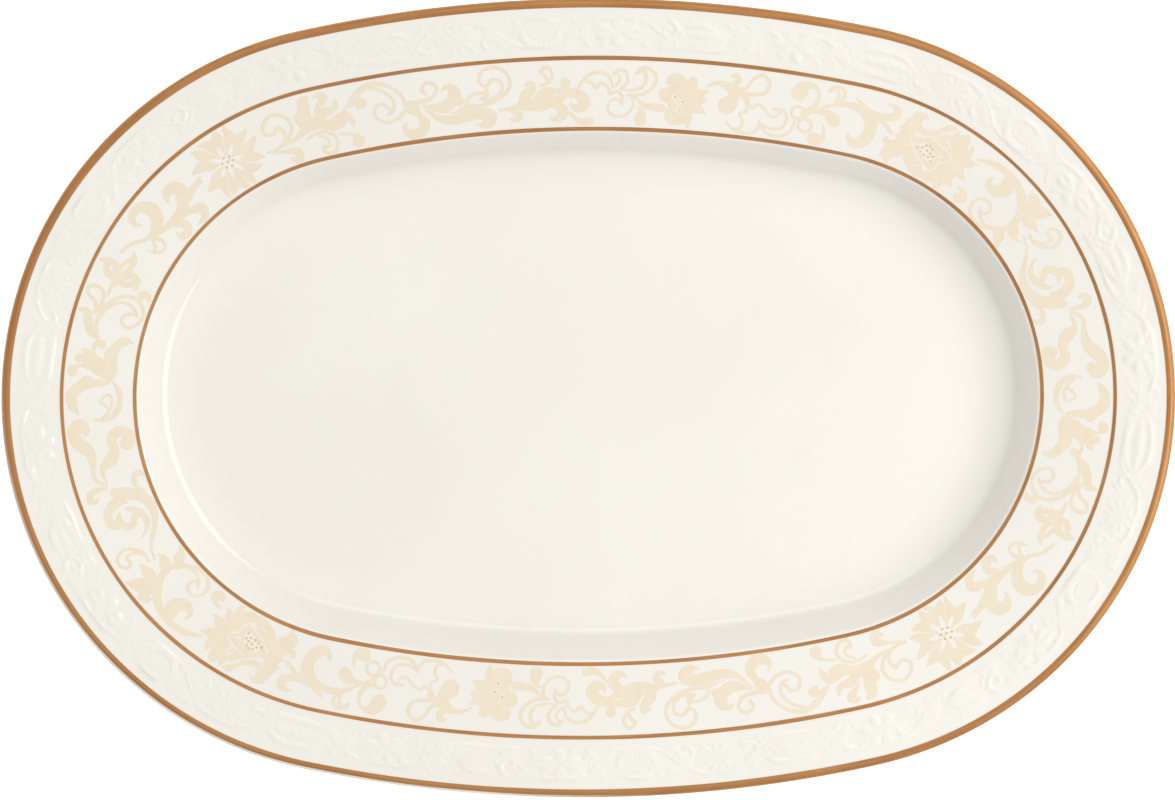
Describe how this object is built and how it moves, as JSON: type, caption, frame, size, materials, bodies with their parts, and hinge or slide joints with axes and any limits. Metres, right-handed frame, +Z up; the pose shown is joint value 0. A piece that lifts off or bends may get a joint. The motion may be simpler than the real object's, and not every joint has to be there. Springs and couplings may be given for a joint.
{
  "type": "china serving platter",
  "caption": "Oval serving platter in glazed china: broad sloping rim with moulded relief, gold lines and a printed scroll band, round a shallow well on a foot ring.",
  "frame": {"origin": "centre of the plane that the foot ring stands on", "axes": "+X along the platter's length, +Y across it, +Z up out of the well"},
  "size_m": [0.3502, 0.2402, 0.0274],
  "materials": {
    "china": "fine matt bisque",
    "glaze": "clear gloss glaze over warm white china",
    "relief": "moulded relief under gloss glaze",
    "gold": "burnished gold, hand banded",
    "transfer": "pale apricot transfer print under gloss"
  },
  "bodies": {
    "root": {"china_body": "china", "glaze_face": "glaze", "glaze_back": "glaze", "glaze_recess": "glaze", "relief_garland": "relief", "lip_gold_band": "gold", "outer_gold_line": "gold", "inner_gold_line": "gold", "transfer_right_end": "transfer", "transfer_back_side": "transfer", "transfer_left_end": "transfer", "transfer_front_side": "transfer"}
  },
  "joints": []
}
